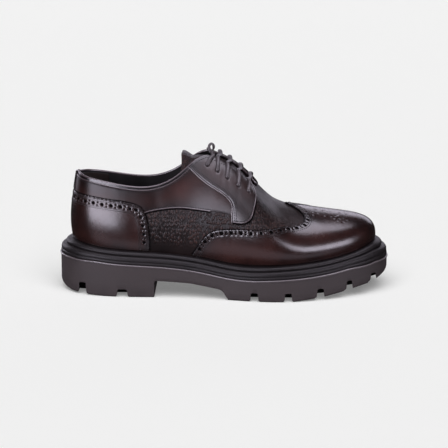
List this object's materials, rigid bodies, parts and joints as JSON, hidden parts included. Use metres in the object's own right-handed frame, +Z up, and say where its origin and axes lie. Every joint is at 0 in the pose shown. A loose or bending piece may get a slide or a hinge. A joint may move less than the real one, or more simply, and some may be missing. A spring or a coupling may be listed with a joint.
{
  "type": "brogue shoe",
  "caption": "Men's wingtip derby brogue for the right foot: hollow leather upper with overlays on a thick lugged rubber sole, laced closed, standing empty.",
  "frame": {"origin": "on the floor under the middle of the sole's length and width", "axes": "+X towards the toe, -Y towards the outer side of the foot, +Z up"},
  "size_m": [0.3122, 0.1168, 0.1399],
  "materials": {
    "leather": "satin, pebbled on the vamp",
    "overlay_leather": "polished, brogued",
    "lining": "matte",
    "sole_rubber": "matte",
    "rim_rubber": "satin",
    "lace_cord": "waxed"
  },
  "bodies": {
    "root": {"outsole": "sole_rubber", "midsole": "rim_rubber", "welt": "rim_rubber", "insole": "lining", "upper": "leather", "tongue": "leather", "wing_cap": "overlay_leather", "counter": "overlay_leather", "heel_strip": "overlay_leather", "facing_outer": "overlay_leather", "facing_inner": "overlay_leather", "lace_bar_1": "lace_cord", "lace_bar_2": "lace_cord", "lace_bar_3": "lace_cord", "lace_bar_4": "lace_cord", "lace_bar_5": "lace_cord"}
  },
  "joints": []
}
